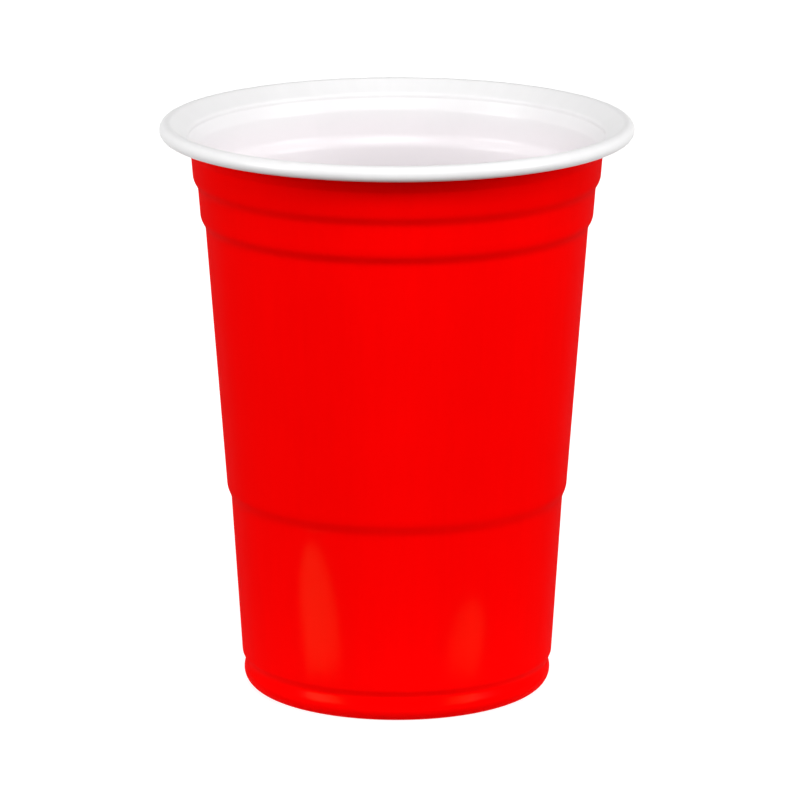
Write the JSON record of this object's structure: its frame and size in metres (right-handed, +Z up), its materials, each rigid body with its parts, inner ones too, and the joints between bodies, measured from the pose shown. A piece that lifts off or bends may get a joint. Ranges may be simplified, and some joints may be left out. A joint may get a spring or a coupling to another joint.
{
  "type": "plastic cup",
  "caption": "Tapered moulded plastic cup with a rounded foot, raised base, stepped ring bands in the wall and a wide rolled lip, for holding a cold drink.",
  "frame": {"origin": "on the cup's axis, in the plane that its resting ring stands on", "axes": "+Z up the cup's axis from the foot to the lip; the cup is round, so X and Y have no direction of their own"},
  "size_m": [0.095, 0.095, 0.1164],
  "materials": {
    "sheet": "gloss"
  },
  "bodies": {
    "root": {"cup": "sheet"}
  },
  "joints": []
}
